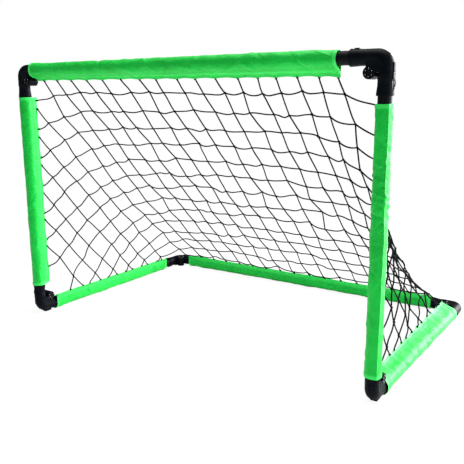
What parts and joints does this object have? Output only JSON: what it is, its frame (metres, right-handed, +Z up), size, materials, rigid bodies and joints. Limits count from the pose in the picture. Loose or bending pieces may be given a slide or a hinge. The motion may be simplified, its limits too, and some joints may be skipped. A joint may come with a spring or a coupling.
{
  "type": "folding floorball goal",
  "caption": "Small folding floorball goal: tubes in hinged corner elbows, fabric sleeves, and a knotted net that slopes down to the rear bar.",
  "frame": {"origin": "on the floor, below the middle of the goal", "axes": "-Y out of the mouth, +X to the right along the crossbar when the mouth is seen from the front, +Z up"},
  "size_m": [0.9022, 0.5866, 0.6028],
  "materials": {
    "tube_plastic": "extruded, satin",
    "elbow_plastic": "moulded, fine grain",
    "pin_plastic": "moulded, smooth",
    "sleeve_fabric": "plain woven polyester, sewn hem",
    "net_cord": "knotted twisted cord"
  },
  "bodies": {
    "front_frame": {"top_left_elbow_bend": "elbow_plastic", "top_left_elbow_socket": "elbow_plastic", "top_left_hinge_pin": "pin_plastic", "top_right_elbow_bend": "elbow_plastic", "top_right_elbow_socket": "elbow_plastic", "top_right_hinge_pin": "pin_plastic", "front_left_elbow_socket": "elbow_plastic", "front_left_hinge_pin": "pin_plastic", "front_right_elbow_socket": "elbow_plastic", "front_right_hinge_pin": "pin_plastic", "crossbar_tube": "tube_plastic", "crossbar_sleeve": "sleeve_fabric", "left_post_tube": "tube_plastic", "left_post_sleeve": "sleeve_fabric", "right_post_tube": "tube_plastic", "right_post_sleeve": "sleeve_fabric", "net_back": "net_cord", "net_left": "net_cord", "net_right": "net_cord"},
    "floor_frame": {"front_left_elbow_bend": "elbow_plastic", "front_right_elbow_bend": "elbow_plastic", "rear_left_elbow_bend": "elbow_plastic", "rear_left_elbow_socket": "elbow_plastic", "rear_left_hinge_pin": "pin_plastic", "rear_right_elbow_bend": "elbow_plastic", "rear_right_elbow_socket": "elbow_plastic", "rear_right_hinge_pin": "pin_plastic", "left_side_bar_tube": "tube_plastic", "left_side_bar_sleeve": "sleeve_fabric", "right_side_bar_tube": "tube_plastic", "right_side_bar_sleeve": "sleeve_fabric", "rear_bar_tube": "tube_plastic", "rear_bar_sleeve": "sleeve_fabric"}
  },
  "joints": [
    {"name": "floor_fold", "type": "hinge", "parent": "front_frame", "child": "floor_frame", "pos_m": [0, -0.254, 0.0396], "axis": [1, 0, 0], "range_deg": [0, 90], "deforming": ["net_back", "net_left", "net_right"]}
  ]
}
